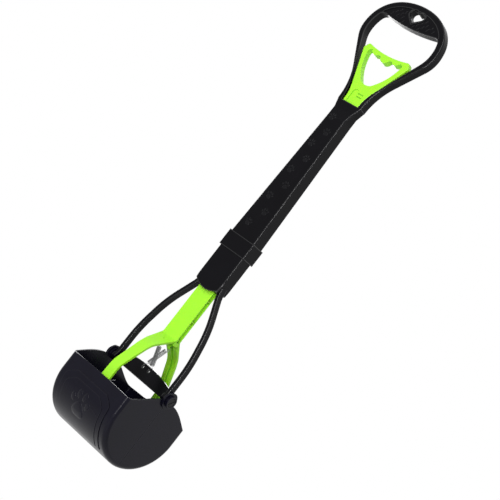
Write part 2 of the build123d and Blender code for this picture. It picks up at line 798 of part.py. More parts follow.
def prong():
    """The rear prong: a strip that narrows to its eye, with a rib along its inner face."""
    y_root = rod_half_depth - prong_thickness / 2
    path = prong_path(y_root)
    start = Pos(0, y_root, prong_start_height)
    strip = sweep(start * Rectangle(2 * fork_rod_half_width, prong_thickness), path)
    strip &= plate(prong_outline(), -overrun, jaw_length)
    y_rib = y_root - (prong_thickness + prong_rib_height) / 2 + prong_rib_half_thickness / 2
    rib_start = Pos(0, y_rib, prong_start_height)
    rib_depth = prong_rib_height + prong_rib_half_thickness
    rib_path = Pos(0, y_rib - y_root, 0) * path
    rib = sweep(rib_start * Rectangle(2 * prong_rib_half_thickness, rib_depth), rib_path)
    rib &= box_between((-jaw_width, 0, link_height + 2 * prong_eye_radius),
                       (jaw_width, jaw_length, prong_start_height))
    eye = disc(prong_eye_radius, -prong_end_half_width, prong_end_half_width, link_reach, link_height)
    half, reach, height = lug_half_thickness, spring_lug_reach, spring_lug_height
    web = box_between((-half, reach - lug_ring_radius / 2, height),
                      (half, reach + lug_ring_radius / 2, height + lug_ring_radius))
    ring = disc(lug_ring_radius, -half, half, reach, height)
    body = strip + rib + eye + web + ring
    body -= disc(lug_hole_radius, -jaw_width, jaw_width, reach, height)
    return body - disc(link_pin_radius, -jaw_width, jaw_width, link_reach, link_height)


def pull_fork():
    """The lower rod with its joint peg, and the two prongs that grow out of its foot."""
    half = fork_rod_half_width
    land = rod_joint_bottom - rod_joint_land
    deep = rod_half_depth
    block_top = crotch_height + root_block_length
    rod = ribbed_rod(half, crotch_height, land, block_top + rib_spacing)
    rod += box_between((-half, -deep, crotch_height), (half, deep, block_top))
    rod += box_between((-half, -deep, land), (half, -rod_joint_gap / 2, rod_joint_top - rod_joint_gap))
    rod += box_between((-half, -deep, land), (half, deep, rod_joint_bottom - rod_joint_gap))
    peg_height = (rod_joint_bottom + rod_joint_top) / 2
    peg = Pos(0, rod_half_depth / 2 - rod_joint_gap / 2, peg_height) * Rot(90, 0, 0)
    rod += peg * Cylinder(peg_radius, rod_half_depth)
    rear = prong()
    return rod + rear + Rot(0, 0, 180) * rear


def link_pin():
    """The steel pin through the rear prong's eye, whose ends run in the jaw's lugs."""
    reach = prong_end_half_width + lug_gap + lug_thickness + lug_gap
    return disc(link_pin_radius, -reach, reach, link_reach, link_height)


def biarc(start, start_way, end, end_way):
    """Two arcs that join two points smoothly with the given directions at the ends."""
    chord = end - start
    ways = start_way + end_way
    spread = 2 * (1 - start_way.dot(end_way))
    along = chord.dot(ways)
    reach = (-along + math.sqrt(along * along + spread * chord.dot(chord))) / spread
    first = start + start_way * reach
    last = end - end_way * reach
    middle = (first + last) * 0.5
    middle_way = (last - first).normalized()
    return [TangentArc(start, middle, tangent=start_way), TangentArc(middle, end, tangent=middle_way)]


def spring_stations(length, low_tilt, high_tilt):
    """Points and directions of the wire, upright, from the lower hook to the upper one."""
    lift = coil_pitch / math.tau
    lean = math.hypot(coil_radius, lift)
    stations = []
    for turn in (math.radians(200) + low_tilt, math.radians(270) + low_tilt, math.tau):
        spot = Vector(0, bottom_hook_radius * math.cos(turn), bottom_hook_radius * math.sin(turn))
        stations.append((spot, Vector(0, -math.sin(turn), math.cos(turn))))
    low = (length - coil_turns * coil_pitch) / 2
    for quarter in range(4 * coil_turns + 1):
        turn = quarter * math.pi / 2 + math.pi
        height = low + quarter * coil_pitch / 4
        spot = Vector(coil_radius * math.cos(turn), coil_radius * math.sin(turn), height)
        way = Vector(-coil_radius * math.sin(turn) / lean, coil_radius * math.cos(turn) / lean, lift / lean)
        stations.append((spot, way))
    for turn in (0, math.radians(90) + high_tilt, math.radians(160) + high_tilt):
        spot = Vector(-top_hook_radius * math.cos(turn), 0, length + top_hook_radius * math.sin(turn))
        stations.append((spot, Vector(math.sin(turn), 0, math.cos(turn))))
    return stations


def coil_gap(stations):
    """Least distance between the surfaces of two parts of the wire that aren't neighbours."""
    points = []
    steps = 6
    for (start, start_way), (end, end_way) in zip(stations, stations[1:]):
        for arc in biarc(start, start_way, end, end_way):
            points += [arc.position_at(step / steps) for step in range(steps)]
    away = 6 * steps
    least = min((a - b).length for i, a in enumerate(points) for b in points[i + away:])
    return least - 2 * wire_radius


def spring():
    """The front tension spring, hooked between the fork's lug and the crossbar."""
    hole = Vector(spring_hole_offset, 0, spring_hole_height)
    lug = Vector(0, -spring_lug_reach, spring_lug_height)
    chord = (lug - hole).normalized()
    low = hole + (chord - Vector(0, chord.Y, 0)).normalized() * bottom_hook_radius
    high = lug - (chord - Vector(chord.X, 0, 0)).normalized() * top_hook_radius
    up = (high - low).normalized()
    across = (Vector(1, 0, 0) - up * up.X).normalized()
    low_tilt = math.asin(up.Y)
    high_tilt = math.asin(up.X)
    stations = spring_stations((high - low).length, low_tilt, high_tilt)
    print("spring: least gap of the wire to itself", round(coil_gap(stations), 3), "mm")
    arcs = []
    for (start, start_way), (end, end_way) in zip(stations, stations[1:]):
        arcs += biarc(start, start_way, end, end_way)
    start, way = stations[0]
    section = Plane(origin=start, z_dir=way) * Circle(wire_radius)
    wire = sweep(section, Wire(arcs))
    return Plane(origin=low, x_dir=across, z_dir=up).location * wire


def main():
    """Build every piece and write one file for each."""
    front_jaw = jaw()
    rear_jaw = Rot(0, 0, 180) * front_jaw
    right_pin = hinge_pin()
    rear_link = link_pin()
    front_spring = spring()
    pieces = {
        "upper_handle": upper_handle(),
        "lower_fork": lower_fork(),
        "trigger_rod": trigger_rod(),
        "pull_fork": pull_fork(),
        "front_jaw": front_jaw,
        "rear_jaw": rear_jaw,
        "right_hinge_pin": right_pin,
        "left_hinge_pin": mirrored(right_pin),
        "rear_link_pin": rear_link,
        "front_link_pin": Rot(0, 0, 180) * rear_link,
        "front_spring": front_spring,
        "rear_spring": Rot(0, 0, 180) * front_spring,
    }
    os.makedirs("parts", exist_ok=True)
    for name, piece in pieces.items():
        export_step(Pos(0, 0, -heart_height) * piece, f"parts/{name}.step")
        print(name, len(piece.solids()), round(piece.volume))
    print("jaws open", round(open_angle, 3), "degrees over", travel, "mm")
    print("jaw ratio", round(math.radians(open_angle) / travel * 1000, 4), "radians per metre")


if __name__ == "__main__":
    main()
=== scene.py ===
"""Looks of the long-handled jaw scooper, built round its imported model.

The model's frame has its origin in the middle of the heart-shaped hanging hole. +Z runs
up the handle, X is the hinge line and -Y is the front. Sizes and places of the pieces are
written in millimetres. Those of the finishes, the lamps, the floor and the camera are
written in metres.
"""

import logging
import math
from dataclasses import dataclass, field
from enum import Enum
from typing import ClassVar

import bpy
import bmesh
from mathutils import Matrix, Vector
from mathutils.bvhtree import BVHTree

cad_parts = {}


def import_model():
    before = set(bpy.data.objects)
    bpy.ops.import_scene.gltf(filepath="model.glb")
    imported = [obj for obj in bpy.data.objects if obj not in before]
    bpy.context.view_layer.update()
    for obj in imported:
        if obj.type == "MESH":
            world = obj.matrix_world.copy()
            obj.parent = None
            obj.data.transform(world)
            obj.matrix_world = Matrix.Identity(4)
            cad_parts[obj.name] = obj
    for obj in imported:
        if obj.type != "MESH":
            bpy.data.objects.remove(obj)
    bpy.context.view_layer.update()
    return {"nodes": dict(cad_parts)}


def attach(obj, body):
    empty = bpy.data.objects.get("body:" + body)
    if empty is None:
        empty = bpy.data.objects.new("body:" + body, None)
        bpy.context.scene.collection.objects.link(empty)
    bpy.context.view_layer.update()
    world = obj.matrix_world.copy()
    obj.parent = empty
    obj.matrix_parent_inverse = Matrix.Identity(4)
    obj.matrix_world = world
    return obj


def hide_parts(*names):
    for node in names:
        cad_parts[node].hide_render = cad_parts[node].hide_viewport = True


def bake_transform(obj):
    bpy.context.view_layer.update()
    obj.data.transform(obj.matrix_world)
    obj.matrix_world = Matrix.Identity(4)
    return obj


log = logging.getLogger("scooper")

Socket = bpy.types.NodeSocket
Value = Socket | float | tuple[float, ...]
Pair = tuple[float, float]
Triple = tuple[float, float, float]
Nodes = dict[str, bpy.types.Object]


class Slot(Enum):
    """Material slots of the record."""

    BLACK = "black_plastic"
    WIRE = "spring_steel"


class Body(Enum):
    """Rigid bodies of the scooper."""

    FRAME = "frame"
    SLIDER = "slider"
    FRONT_JAW = "front_jaw_body"
    REAR_JAW = "rear_jaw_body"


class Face(Enum):
    """Which face of the scooper a raised piece lies on: the sign of its Y side."""

    FRONT = -1
    BACK = 1


def mm(value: float) -> float:
    """Turn millimetres into metres."""
    return value / 1000.0


# Shader groups


class Graph:
    """A small helper that adds and links nodes in one node tree."""

    def __init__(self, tree: bpy.types.NodeTree) -> None:
        """Keep the tree that the nodes go into."""
        self.tree = tree

    def add(self, kind: str, **settings: object) -> bpy.types.Node:
        """Add one node and set its properties.

        Args:
            kind: The node's type name.
            **settings: Properties of the node, by name.

        Returns:
            The new node.
        """
        node = self.tree.nodes.new(kind)
        for name, value in settings.items():
            setattr(node, name, value)
        return node

    def feed(self, value: Value, target: Socket) -> None:
        """Give an input its value.

        Args:
            value: An output to link, or a number or colour to set.
            target: The input.
        """
        if isinstance(value, Socket):
            self.tree.links.new(value, target)
        else:
            target.default_value = value

    def math(self, operation: str, first: Value, second: Value, clamp: bool = False) -> Socket:
        """Add a math node.

        Args:
            operation: Name of the operation.
            first: An output or a number.
            second: An output or a number.
            clamp: Whether the result is held between 0 and 1.

        Returns:
            The node's output.
        """
        node = self.add("ShaderNodeMath", operation=operation, use_clamp=clamp)
        self.feed(first, node.inputs[0])
        self.feed(second, node.inputs[1])
        return node.outputs[0]

    def spread(self, value: Socket, start: Pair, end: Pair = (0.0, 1.0)) -> Socket:
        """Map a range of values to another one and hold it there.

        Args:
            value: The output to map.
            start: The two values that become those of the new range.
            end: The new range.

        Returns:
            The mapped output.
        """
        node = self.add("ShaderNodeMapRange")
        self.feed(value, node.inputs["Value"])
        names = ("From Min", "From Max", "To Min", "To Max")
        for name, bound in zip(names, (*start, *end)):
            node.inputs[name].default_value = bound
        return node.outputs["Result"]

    def noise(self, vector: Socket, scale: Value, detail: float = 2.0, roughness: float = 0.5) -> Socket:
        """Add a noise texture.

        Args:
            vector: Where the noise is looked up.
            scale: An output or a number.
            detail: Number of finer layers.
            roughness: How strong the finer layers are.

        Returns:
            The noise, round 0.5.
        """
        node = self.add("ShaderNodeTexNoise")
        self.feed(vector, node.inputs["Vector"])
        self.feed(scale, node.inputs["Scale"])
        node.inputs["Detail"].default_value = detail
        node.inputs["Roughness"].default_value = roughness
        return node.outputs["Fac"]

    def mix(self, factor: Socket, first: Value, second: Value) -> Socket:
        """Blend two colours.

        Args:
            factor: 0 for the first colour and 1 for the second.
            first: An output or a colour.
            second: An output or a colour.

        Returns:
            The blended colour.
        """
        node = self.add("ShaderNodeMix", data_type="RGBA")
        for name, value in (("Factor", factor), ("A", first), ("B", second)):
            self.feed(value, node.inputs[name])
        return node.outputs["Result"]

    def seen(self) -> Socket:
        """Tell rays that see or mirror a surface from those that are light.

        Returns:
            1 for camera, glossy and transmission rays, and 0 for the others.
        """
        path = self.add("ShaderNodeLightPath")
        direct = self.math("MAXIMUM", path.outputs["Is Camera Ray"], path.outputs["Is Glossy Ray"])
        return self.math("MAXIMUM", direct, path.outputs["Is Transmission Ray"])


class ShaderGroup:
    """A shader node group with named inputs and outputs, built once."""

    name: ClassVar[str]
    inputs: ClassVar[tuple[tuple[str, str, float], ...]]
    outputs: ClassVar[tuple[str, ...]]

    def __init__(self) -> None:
        """Make the group's sockets and fill it."""
        self.tree = bpy.data.node_groups.new(self.name, "ShaderNodeTree")
        for label, kind, start in self.inputs:
            socket = self.tree.interface.new_socket(label, in_out="INPUT", socket_type=kind)
            if kind == "NodeSocketFloat":
                socket.default_value = start
        for label in self.outputs:
            self.tree.interface.new_socket(label, in_out="OUTPUT", socket_type="NodeSocketFloat")
        self.graph = Graph(self.tree)
        self.given = self.graph.add("NodeGroupInput").outputs
        self.result = self.graph.add("NodeGroupOutput").inputs
        self.fill()

    def fill(self) -> None:
        """Build the nodes between the group's input and output."""
        raise NotImplementedError

    def place(self, graph: Graph, **values: Value) -> bpy.types.Node:
        """Put the group into a material.

        Args:
            graph: The material's graph.
            **values: Numbers or outputs for the inputs, with _ for a space.

        Returns:
            The group's node.
        """
        node = graph.add("ShaderNodeGroup", node_tree=self.tree)
        for label, value in values.items():
            graph.feed(value, node.inputs[label.replace("_", " ")])
        return node


class MouldGrain(ShaderGroup):
    """Spark-eroded grain of a moulded surface, with slow clouds of tone."""

    name = "mould_grain"
    inputs = (("Vector", "NodeSocketVector", 0.0), ("Grain Size", "NodeSocketFloat", 0.0005),
              ("Cloud Size", "NodeSocketFloat", 0.03))
    outputs = ("Height", "Cloud")
    fine_detail = 3.0
    fine_roughness = 0.6
    pit_scale_share = 0.6
    pit_range = (0.05, 0.5)
    pit_share = 0.35
    cloud_detail = 4.0
    cloud_range = (0.3, 0.7)

    def fill(self) -> None:
        """Mix fine noise with round pits, and add a slow noise."""
        graph, vector = self.graph, self.given["Vector"]
        scale = graph.math("DIVIDE", 1.0, self.given["Grain Size"])
        fine = graph.noise(vector, scale, self.fine_detail, self.fine_roughness)
        pits = graph.add("ShaderNodeTexVoronoi")
        graph.feed(vector, pits.inputs["Vector"])
        graph.feed(graph.math("MULTIPLY", scale, self.pit_scale_share), pits.inputs["Scale"])
        pit = graph.spread(pits.outputs["Distance"], self.pit_range)
        height = graph.math("ADD", graph.math("MULTIPLY", fine, 1.0 - self.pit_share),
                            graph.math("MULTIPLY", pit, self.pit_share))
        graph.feed(height, self.result["Height"])
        cloud = graph.noise(vector, graph.math("DIVIDE", 1.0, self.given["Cloud Size"]), self.cloud_detail)
        graph.feed(graph.spread(cloud, self.cloud_range), self.result["Cloud"])


class EdgeRubAndSheen(ShaderGroup):
    """Mask of the outer edges, which hands and walls wear and which carry a painted highlight."""

    name = "edge_rub_and_sheen"
    inputs = (("Vector", "NodeSocketVector", 0.0), ("Width", "NodeSocketFloat", 0.0007))
    outputs = ("Mask",)
    samples = 4
    edge_range = (0.996, 0.90)
    breakup_scale = 240.0
    breakup_detail = 4.0
    breakup_range = (0.35, 0.65)
    worn_and_lit_range = (0.55, 1.0)

    def fill(self) -> None:
        """Compare the true normal with a rounded one and break the line up."""
        graph = self.graph
        rounded = graph.add("ShaderNodeBevel", samples=self.samples)
        graph.feed(self.given["Width"], rounded.inputs["Radius"])
        geometry = graph.add("ShaderNodeNewGeometry")
        dot = graph.add("ShaderNodeVectorMath", operation="DOT_PRODUCT")
        graph.feed(rounded.outputs["Normal"], dot.inputs[0])
        graph.feed(geometry.outputs["Normal"], dot.inputs[1])
        edge = graph.spread(dot.outputs["Value"], self.edge_range)
        breakup = graph.noise(self.given["Vector"], self.breakup_scale, self.breakup_detail)
        worn_and_lit = graph.spread(breakup, self.breakup_range, self.worn_and_lit_range)
        graph.feed(graph.math("MULTIPLY", edge, worn_and_lit), self.result["Mask"])


class CreviceShade(ShaderGroup):
    """Mask of the inner corners and recesses, where shade is painted in as a darker colour."""

    name = "crevice_shade"
    inputs = (("Depth", "NodeSocketFloat", 0.0025),)
    outputs = ("Mask",)
    samples = 32
    closed_range = (0.92, 0.45)

    def fill(self) -> None:
        """Keep the darker part of a short-reach occlusion."""
        closed = self.graph.add("ShaderNodeAmbientOcclusion", samples=self.samples, only_local=True)
        self.graph.feed(self.given["Depth"], closed.inputs["Distance"])
        self.graph.feed(self.graph.spread(closed.outputs["AO"], self.closed_range), self.result["Mask"])


class PolishedEdge(ShaderGroup):
    """Mask of the rounded outer edges, which come out of the mould glossier."""

    name = "polished_edge"
    inputs = (("Depth", "NodeSocketFloat", 0.0012),)
    outputs = ("Mask",)
    samples = 16
    curved_range = (0.985, 0.91)
    sharp_range = (0.70, 0.84)
    sharp_strength = (0.25, 1.0)

    def fill(self) -> None:
        """Look from within: short rays leave the solid only near its outer edges."""
        graph = self.graph
        within = graph.add("ShaderNodeAmbientOcclusion", samples=self.samples, only_local=True, inside=True)
        graph.feed(self.given["Depth"], within.inputs["Distance"])
        curved = graph.spread(within.outputs["AO"], self.curved_range)
        soft = graph.spread(within.outputs["AO"], self.sharp_range, self.sharp_strength)
        graph.feed(graph.math("MULTIPLY", curved, soft), self.result["Mask"])


class FineScuffs(ShaderGroup):
    """Short hairline scuffs that run mostly along the handle."""

    name = "fine_scuffs"
    inputs = (("Vector", "NodeSocketVector", 0.0), ("Amount", "NodeSocketFloat", 0.5))
    outputs = ("Mask",)
    hair_scale = (900.0, 900.0, 34.0)
    hair_turn = (0.35, 0.2, 0.0)
    hair_range = (0.63, 0.70)
    patch_scale = 26.0
    patch_range = (0.48, 0.66)

    def fill(self) -> None:
        """Stretch a noise along the handle and keep its thin crests."""
        graph = self.graph
        mapping = graph.add("ShaderNodeMapping")
        mapping.inputs["Scale"].default_value = self.hair_scale
        mapping.inputs["Rotation"].default_value = self.hair_turn
        graph.feed(self.given["Vector"], mapping.inputs["Vector"])
        hair = graph.spread(graph.noise(mapping.outputs["Vector"], 1.0), self.hair_range)
        patch = graph.spread(graph.noise(self.given["Vector"], self.patch_scale), self.patch_range)
        both = graph.math("MULTIPLY", hair, patch)
        graph.feed(graph.math("MULTIPLY", both, self.given["Amount"]), self.result["Mask"])


# Finishes


@dataclass(frozen=True)
class Finish:
    """One finish: its name, its colours as written and how it is worn.

    color is the clean colour; the lighter edge colour lies on edges as wear and as a painted highlight;
    the shade factor darkens recesses as painted shade. roughness_spread and cloud are how far the slow
    clouds carry the roughness and the tone. Painted shade, edge wear with its highlight, scuffs and polish
    have strengths.
    """

    name: str
    color: Triple
    rubbed_and_lit: Triple
    roughness: float
    roughness_spread: float
    grain_size: float
    grain_depth: float
    # Painted shade in recesses and corners: its strength, reach and factor on the colour.
    painted_shade: float = 0.6
    painted_shade_depth: float = 0.0025
    painted_shade_factor: Triple = (0.35, 0.35, 0.35)
    # Edge wear that also carries a painted highlight: its strength and width.
    rub_and_sheen: float = 0.5
    rub_and_sheen_width: float = 0.0007
    scuffs: float = 0.3
    cloud: float = 0.25
    specular: float = 0.5
    metallic: float = 0.0
    polish: float = 0.0
    subsurface: float = 0.0


# Each finish's lighter edge colour is partly wear and partly a painted highlight.
BLACK_HANDLE = Finish(
    "handle_black", color=(0.0026, 0.0024, 0.0034), rubbed_and_lit=(0.040, 0.040, 0.044),
    roughness=0.26, roughness_spread=0.03, grain_size=0.0007, grain_depth=0.00002,
    rub_and_sheen=0.25, rub_and_sheen_width=0.0008, scuffs=0.08, specular=0.072, polish=1.0)
BLACK_MARK = Finish(
    "raised_mark_black", color=(0.0056, 0.0054, 0.0066), rubbed_and_lit=(0.026, 0.026, 0.029),
    roughness=0.30, roughness_spread=0.03, grain_size=0.0005, grain_depth=0.00002,
    rub_and_sheen=0.6, scuffs=0.0, specular=0.085)
BLACK_FORK = Finish(
    "fork_black", color=(0.0026, 0.0024, 0.0036), rubbed_and_lit=(0.040, 0.040, 0.044),
    roughness=0.22, roughness_spread=0.03, grain_size=0.0006, grain_depth=0.00001,
    rub_and_sheen=0.25, rub_and_sheen_width=0.0008, scuffs=0.08, specular=0.075, polish=1.0)
BLACK_JAW = Finish(
    "jaw_black", color=(0.0034, 0.0030, 0.0080), rubbed_and_lit=(0.040, 0.039, 0.047),
    roughness=0.24, roughness_spread=0.03, grain_size=0.0005, grain_depth=0.00001,
    rub_and_sheen=0.35, scuffs=0.08, specular=0.118, polish=0.12)
# The green's recesses and channels are painted darker, as shade.
GREEN = Finish(
    "trigger_green", color=(0.37, 0.88, 0.030), rubbed_and_lit=(0.60, 0.97, 0.25),
    roughness=0.32, roughness_spread=0.04, grain_size=0.0006, grain_depth=0.00002,
    painted_shade=0.9, painted_shade_depth=0.004, painted_shade_factor=(0.12, 0.34, 0.2), rub_and_sheen=0.0, scuffs=0.06,
    cloud=0.04, specular=0.30, subsurface=0.05)
PIN_STEEL = Finish(
    "pin_black_steel", color=(0.004, 0.004, 0.005), rubbed_and_lit=(0.06, 0.06, 0.06),
    roughness=0.28, roughness_spread=0.05, grain_size=0.0003, grain_depth=0.00001,
    rub_and_sheen=0.4, specular=0.14)
WIRE_STEEL = Finish(
    "spring_wire", color=(0.26, 0.26, 0.27), rubbed_and_lit=(0.38, 0.38, 0.38),
    roughness=0.32, roughness_spread=0.05, grain_size=0.0002, grain_depth=0.00001,
    rub_and_sheen=0.2, metallic=1.0)


@dataclass
class Paintbox:
    """The shared shader groups and the materials made from them."""

    grain: MouldGrain = field(default_factory=MouldGrain)
    rub_and_sheen: EdgeRubAndSheen = field(default_factory=EdgeRubAndSheen)
    crevice_shade: CreviceShade = field(default_factory=CreviceShade)
    polish: PolishedEdge = field(default_factory=PolishedEdge)
    scuffs: FineScuffs = field(default_factory=FineScuffs)
    made: dict[str, bpy.types.Material] = field(default_factory=dict)
    coat_roughness: float = 0.16
    subsurface_scale: float = 0.002
    smoothed_by_wear: float = 0.1

    def material(self, finish: Finish) -> bpy.types.Material:
        """Give the material of a finish, made on first use.

        Args:
            finish: The finish to turn into a material.

        Returns:
            The material.
        """
        if finish.name not in self.made:
            self.made[finish.name] = self._mix(finish)
        return self.made[finish.name]

    def _mix(self, finish: Finish) -> bpy.types.Material:
        """Build the node tree of one finish.

        Args:
            finish: The finish.

        Returns:
            The new material.
        """
        material = bpy.data.materials.new(finish.name)
        material.use_nodes = True
        material.node_tree.nodes.clear()
        graph = Graph(material.node_tree)
        output = graph.add("ShaderNodeOutputMaterial")
        shader = graph.add("ShaderNodeBsdfPrincipled")
        graph.feed(shader.outputs["BSDF"], output.inputs["Surface"])
        shader.inputs["Metallic"].default_value = finish.metallic
        shader.inputs["Specular IOR Level"].default_value = finish.specular
        if finish.subsurface:
            shader.inputs["Subsurface Weight"].default_value = finish.subsurface
            shader.inputs["Subsurface Scale"].default_value = self.subsurface_scale
        if finish.polish:
            edge = self.polish.place(graph).outputs["Mask"]
            graph.feed(graph.math("MULTIPLY", edge, finish.polish), shader.inputs["Coat Weight"])
            shader.inputs["Coat Roughness"].default_value = self.coat_roughness
        place = graph.add("ShaderNodeTexCoord").outputs["Object"]
        grain = self.grain.place(graph, Vector=place, Grain_Size=finish.grain_size)
        worn_and_lit = self._wear(graph, finish, place)
        color = self._color(graph, finish, grain.outputs["Cloud"], worn_and_lit)
        graph.feed(color, shader.inputs["Base Color"])
        low, high = finish.roughness - finish.roughness_spread, finish.roughness + finish.roughness_spread
        rough = graph.spread(grain.outputs["Cloud"], (0.0, 1.0), (low, high))
        smoothed = graph.math("MULTIPLY", worn_and_lit, self.smoothed_by_wear)
        graph.feed(graph.math("SUBTRACT", rough, smoothed, clamp=True), shader.inputs["Roughness"])
        bump = graph.add("ShaderNodeBump")
        bump.inputs["Strength"].default_value = 1.0
        bump.inputs["Distance"].default_value = finish.grain_depth
        graph.feed(grain.outputs["Height"], bump.inputs["Height"])
        graph.feed(bump.outputs["Normal"], shader.inputs["Normal"])
        return material

    def _wear(self, graph: Graph, finish: Finish, place: Socket) -> Socket:
        """Join the edge wear, which carries a painted highlight, and the scuffs of a finish.

        Args:
            graph: The material's graph.
            finish: The finish.
            place: The object's own coordinates.

        Returns:
            The mask of wear and of the painted edge highlight.
        """
        rub_and_sheen = self.rub_and_sheen.place(graph, Vector=place, Width=finish.rub_and_sheen_width)
        scuffs = self.scuffs.place(graph, Vector=place, Amount=finish.scuffs)
        rubbed_and_lit = graph.math("MULTIPLY", rub_and_sheen.outputs["Mask"], finish.rub_and_sheen)
        return graph.math("MAXIMUM", rubbed_and_lit, scuffs.outputs["Mask"], clamp=True)

    def _color(self, graph: Graph, finish: Finish, cloud: Socket, worn_and_lit: Socket) -> Socket:
        """Lay clouds, painted shade in recesses, and edge wear with a painted highlight over the clean colour
        of a finish.

        Args:
            graph: The material's graph.
            finish: The finish.
            cloud: The slow clouds of tone.
            worn_and_lit: The mask of wear and of the painted edge highlight.

        Returns:
            The colour.
        """
        paler = (part * (1.0 + finish.cloud) for part in finish.color)
        # Painted shade: recesses and corners take a darker copy of the colour, found by a short-reach
        # occlusion.
        shaded_color = (part * shade for part, shade in zip(finish.color, finish.painted_shade_factor))
        tone = graph.mix(cloud, (*finish.color, 1.0), (*paler, 1.0))
        crevice_shade = self.crevice_shade.place(graph, Depth=finish.painted_shade_depth)
        painted_shade = graph.math("MULTIPLY", crevice_shade.outputs["Mask"], finish.painted_shade)
        # Edges take the lighter colour: partly wear, partly a painted highlight.
        return graph.mix(worn_and_lit, graph.mix(painted_shade, tone, (*shaded_color, 1.0)), (*finish.rubbed_and_lit, 1.0))


# Pieces and the surfaces that they lie on


def as_piece(name: str, shape: bmesh.types.BMesh, material: bpy.types.Material) -> bpy.types.Object:
    """Turn a bmesh into an object, which the caller may then let ride on a body.

    Args:
        name: Name of the piece.
        shape: The closed mesh, in metres in the model's frame.
        material: What it is made of.

    Returns:
        The new object.
    """
    bmesh.ops.recalc_face_normals(shape, faces=shape.faces)
    mesh = bpy.data.meshes.new(name)
    shape.to_mesh(mesh)
    shape.free()
    for face in mesh.polygons:
        face.use_smooth = True
    mesh.materials.append(material)
    piece = bpy.data.objects.new(name, mesh)
    bpy.context.scene.collection.objects.link(piece)
    log.info("made %s with %d faces", name, len(mesh.polygons))
    return piece


def dress(nodes: Nodes, name: str, material: bpy.types.Material) -> None:
    """Give a carried-over node its material in every slot.

    Args:
        nodes: The model's nodes by name.
        name: The node to dress.
        material: Its new material.
    """
    node = nodes[name]
    if not node.material_slots:
        node.data.materials.append(material)
    for place in node.material_slots:
        place.link = "OBJECT"
        place.material = material
    log.info("node %s wears %s", name, material.name)


class Host:
    """A node's surface, which raised pieces are laid on."""

    stand_off: ClassVar[float] = 300.0

    def __init__(self, node: bpy.types.Object, face: Face) -> None:
        """Keep a search tree of the node's faces.

        Args:
            node: The carried-over node.
            face: The side that is laid on.
        """
        mesh = node.data
        self.tree = BVHTree.FromPolygons([point.co for point in mesh.vertices],
                                         [tuple(part.vertices) for part in mesh.polygons])
        self.side = face.value

    def drop(self, across: float, up: float) -> tuple[Vector, Vector]:
        """Find the surface straight behind a point of the front or back view.

        Args:
            across: X of the point, in millimetres.
            up: Z of the point, in millimetres.

        Returns:
            The surface point in metres and its outward normal.
        """
        start = Vector((mm(across), self.side * mm(self.stand_off), mm(up)))
        spot, normal, _, _ = self.tree.ray_cast(start, Vector((0, -self.side, 0)))
        if spot is None:
            raise ValueError(f"nothing of the surface behind {across}, {up}")
        if normal.y * self.side < 0:
            normal = -normal
        return spot, normal


@dataclass(frozen=True)
class Relief:
    """How a pad stands out: its height in millimetres and how finely it is meshed."""

    height: float
    sides: int
    rings: int


@dataclass(frozen=True)
class Pad:
    """One raised pad with a rounded outline, sizes in millimetres.

    power 2 gives an ellipse and 4 a bar with round corners. lobes bulges the outline
    in three places, as the big pad of a paw does.
    """

    across: float
    up: float
    half_width: float
    half_height: float
    lean: float = 0.0
    power: float = 2.0
    lobes: float = 0.0
    lobe_count: ClassVar[int] = 3
    dome_power: ClassVar[int] = 4
    foot_depth: ClassVar[float] = 0.35

    def moved(self, across: float, up: float, scale: float, turn: float) -> "Pad":
        """Copy the pad to another place.

        Args:
            across: X of the new origin, in millimetres.
            up: Z of the new origin, in millimetres.
            scale: Factor on every size.
            turn: Turn of the whole motif, in degrees.

        Returns:
            The copied pad.
        """
        cos, sin = math.cos(math.radians(turn)), math.sin(math.radians(turn))
        return Pad(across + scale * (self.across * cos - self.up * sin),
                   up + scale * (self.across * sin + self.up * cos),
                   self.half_width * scale, self.half_height * scale,
                   self.lean + turn, self.power, self.lobes)

    def at(self, share: float, angle: float) -> tuple[float, float]:
        """Give a point of the pad in the flat view.

        Args:
            share: 0 in the middle and 1 on the outline.
            angle: Direction from the middle, in radians.

        Returns:
            The point's X and Z, in millimetres.
        """
        cos, sin = math.cos(angle), math.sin(angle)
        bulge = 1.0 + self.lobes * math.cos(self.lobe_count * (angle - math.pi / 2))
        x = self.half_width * bulge * math.copysign(abs(cos) ** (2.0 / self.power), cos) * share
        z = self.half_height * bulge * math.copysign(abs(sin) ** (2.0 / self.power), sin) * share
        cos, sin = math.cos(math.radians(self.lean)), math.sin(math.radians(self.lean))
        return self.across + x * cos - z * sin, self.up + x * sin + z * cos

    def raise_on(self, shape: bmesh.types.BMesh, host: Host, relief: Relief) -> None:
        """Add the pad to a mesh as a low dome with a steep foot that follows the surface.

        Args:
            shape: The mesh that the pad is added to.
            host: The surface that it lies on.
            relief: Its height and mesh.
        """
        spot, normal = host.drop(*self.at(0.0, 0.0))
        middle = shape.verts.new(spot + normal * mm(relief.height))
        last = None
        for ring in range(1, relief.rings + 2):
            share = min(ring / relief.rings, 1.0)
            dome = relief.height * (1.0 - share ** self.dome_power)
            rise = dome if ring <= relief.rings else -self.foot_depth
            points = []
            for side in range(relief.sides):
                spot, normal = host.drop(*self.at(share, math.tau * side / relief.sides))
                points.append(shape.verts.new(spot + normal * mm(rise)))
            for side in range(relief.sides):
                after = (side + 1) % relief.sides
                if last is None:
                    shape.faces.new((middle, points[side], points[after]))
                else:
                    shape.faces.new((last[side], points[side], points[after], last[after]))
            last = points
        shape.faces.new(last)


@dataclass(frozen=True)
class Motif:
    """A group of pads drawn round its own origin, in millimetres."""

    pads: tuple[Pad, ...]

    def pieces(self, across: float, up: float, scale: float, turn: float = 0.0) -> list[Pad]:
        """Place the motif's pads, as Pad.moved does."""
        return [pad.moved(across, up, scale, turn) for pad in self.pads]


